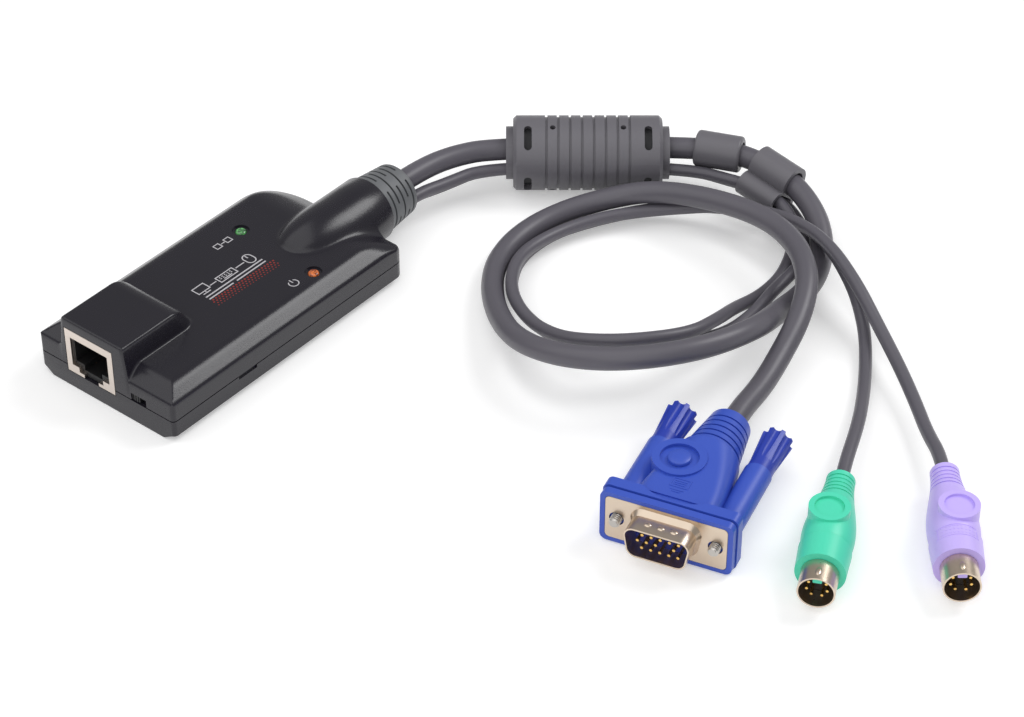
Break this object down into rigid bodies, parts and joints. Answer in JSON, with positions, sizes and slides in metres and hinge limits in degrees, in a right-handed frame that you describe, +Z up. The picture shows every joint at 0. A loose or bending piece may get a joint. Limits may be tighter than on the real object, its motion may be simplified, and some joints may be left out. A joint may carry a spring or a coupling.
{
  "type": "kvm dongle",
  "caption": "Flat two-shell adapter with a shielded network socket, slide switch and two lights; its cords pass a ribbed ferrite clamp to a video plug and round plugs.",
  "frame": {"origin": "on the surface that the housing lies on, under the middle of the housing and its strain relief", "axes": "+X from the network socket along the housing to the cords, +Z up"},
  "size_m": [0.1805, 0.2328, 0.0219],
  "materials": {
    "housing_plastic": "fine satin texture",
    "relief_rubber": "satin",
    "cord_jacket": "satin",
    "ferrite_plastic": "satin",
    "ferrite_ceramic": "matte",
    "jack_metal": "satin",
    "jack_plastic": "matte",
    "gold": "polished",
    "board": "satin",
    "switch_plastic": "satin",
    "light_green": "glossy",
    "light_orange": "glossy",
    "video_blue": "satin",
    "knob_blue": "satin",
    "screw_steel": "satin",
    "plug_nickel": "satin",
    "video_insert_blue": "satin",
    "mouse_green": "satin",
    "keyboard_purple": "satin",
    "plug_black": "matte"
  },
  "bodies": {
    "housing": {"bottom_shell": "housing_plastic", "top_shell": "housing_plastic", "circuit_board": "board", "jack_shield": "jack_metal", "jack_insert": "jack_plastic", "jack_contacts": "gold", "switch_body": "switch_plastic", "led_online": "light_green", "led_power": "light_orange", "strain_relief": "relief_rubber", "ferrite_core": "ferrite_ceramic", "ferrite_cover_upper": "ferrite_plastic", "ferrite_cover_lower": "ferrite_plastic", "video_cord": "cord_jacket", "keyboard_cord": "cord_jacket", "mouse_cord": "cord_jacket", "cable_sleeve": "ferrite_plastic", "cable_clip": "ferrite_plastic", "video_hood": "video_blue", "video_shell": "plug_nickel", "video_insert": "video_insert_blue", "video_pins": "gold", "mouse_hood": "mouse_green", "mouse_shell": "plug_nickel", "mouse_insert": "plug_black", "mouse_key": "mouse_green", "mouse_pins": "gold", "keyboard_hood": "keyboard_purple", "keyboard_shell": "plug_nickel", "keyboard_insert": "plug_black", "keyboard_key": "keyboard_purple", "keyboard_pins": "gold"},
    "switch_slider": {"switch_slider": "switch_plastic"},
    "thumbscrew_left": {"video_knob_left": "knob_blue", "video_screw_left": "screw_steel"},
    "thumbscrew_right": {"video_knob_right": "knob_blue", "video_screw_right": "screw_steel"}
  },
  "joints": [
    {"name": "switch_slide", "type": "slide", "parent": "housing", "child": "switch_slider", "axis": [0, -1, 0], "range_m": [0, 0.0022]},
    {"name": "thumbscrew_left_turn", "type": "hinge", "parent": "housing", "child": "thumbscrew_left", "pos_m": [-0.01286, -0.13014, 0.00775], "axis": [-0.9655, -0.2605, 0], "continuous": true},
    {"name": "thumbscrew_right_turn", "type": "hinge", "parent": "housing", "child": "thumbscrew_right", "pos_m": [-0.00634, -0.15426, 0.00775], "axis": [-0.9655, -0.2605, 0], "continuous": true}
  ]
}
